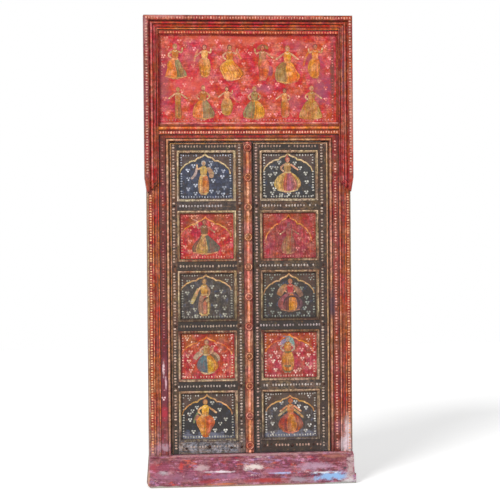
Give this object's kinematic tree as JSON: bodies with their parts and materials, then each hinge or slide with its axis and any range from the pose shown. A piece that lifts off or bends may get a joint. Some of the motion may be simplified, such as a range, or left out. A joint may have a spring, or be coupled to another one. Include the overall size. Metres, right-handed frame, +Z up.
{
  "type": "painted door",
  "caption": "Narrow painted wooden door: two panelled leaves on pivots in a moulded frame with a heavy sill, a transom and a painted panel above.",
  "frame": {"origin": "on the ground under the middle of the frame's width and depth", "axes": "+Z up the door, -Y out of the painted front, +X to the right when facing the front"},
  "size_m": [0.95, 0.11, 2.13],
  "materials": {
    "red_paint": "worn red and orange distemper paint on hardwood",
    "orange_paint": "worn vermilion-orange paint on hardwood",
    "sill_paint": "rose paint worn through to grey, pink and bare wood",
    "dark_leaf_paint": "dark olive-brown paint, worn grey",
    "dark_panel_paint": "slate-blue paint with painted figures",
    "crimson_panel_paint": "crimson paint with painted figures",
    "gold_paint": "worn pale gold paint",
    "bare_wood": "bare aged hardwood",
    "iron": "dark forged iron"
  },
  "bodies": {
    "frame": {"foot_fillet": "red_paint", "frame_pegs": "bare_wood", "head_fillet": "orange_paint", "head_lining": "red_paint", "head_outer_band": "red_paint", "head_rail": "red_paint", "head_surround_moulding": "red_paint", "left_lining": "red_paint", "left_outer_band": "red_paint", "left_post": "red_paint", "left_surround_moulding": "red_paint", "lower_top_board": "crimson_panel_paint", "pivot_cups": "iron", "right_lining": "red_paint", "right_outer_band": "red_paint", "right_post": "red_paint", "right_surround_moulding": "red_paint", "side_fillets": "red_paint", "sill": "sill_paint", "top_panel_battens": "bare_wood", "transom_moulding": "orange_paint", "transom_rail": "red_paint", "upper_top_board": "crimson_panel_paint"},
    "left_leaf": {"centre_strip": "orange_paint", "left_bottom_panel": "dark_panel_paint", "left_bottom_rail": "dark_leaf_paint", "left_edge_beads": "gold_paint", "left_hinge_stile": "dark_leaf_paint", "left_lower_middle_rail": "dark_leaf_paint", "left_lower_panel": "crimson_panel_paint", "left_lower_rail": "dark_leaf_paint", "left_meeting_stile": "dark_leaf_paint", "left_middle_panel": "dark_panel_paint", "left_panel_mouldings": "gold_paint", "left_top_panel": "dark_panel_paint", "left_top_rail": "dark_leaf_paint", "left_upper_middle_rail": "dark_leaf_paint", "left_upper_panel": "crimson_panel_paint", "left_upper_rail": "dark_leaf_paint", "strip_rosettes": "orange_paint"},
    "right_leaf": {"right_bottom_panel": "dark_panel_paint", "right_bottom_rail": "dark_leaf_paint", "right_edge_beads": "gold_paint", "right_hinge_stile": "dark_leaf_paint", "right_lower_middle_rail": "dark_leaf_paint", "right_lower_panel": "crimson_panel_paint", "right_lower_rail": "dark_leaf_paint", "right_meeting_stile": "dark_leaf_paint", "right_middle_panel": "dark_panel_paint", "right_panel_mouldings": "gold_paint", "right_top_panel": "dark_panel_paint", "right_top_rail": "dark_leaf_paint", "right_upper_middle_rail": "dark_leaf_paint", "right_upper_panel": "crimson_panel_paint", "right_upper_rail": "dark_leaf_paint"}
  },
  "joints": [
    {"name": "left_leaf_pivot", "type": "hinge", "parent": "frame", "child": "left_leaf", "pos_m": [-0.346, 0.007, 0.148], "axis": [0, 0, 1], "range_deg": [0, 90]},
    {"name": "right_leaf_pivot", "type": "hinge", "parent": "frame", "child": "right_leaf", "pos_m": [0.346, 0.007, 0.148], "axis": [0, 0, -1], "range_deg": [0, 90]}
  ]
}
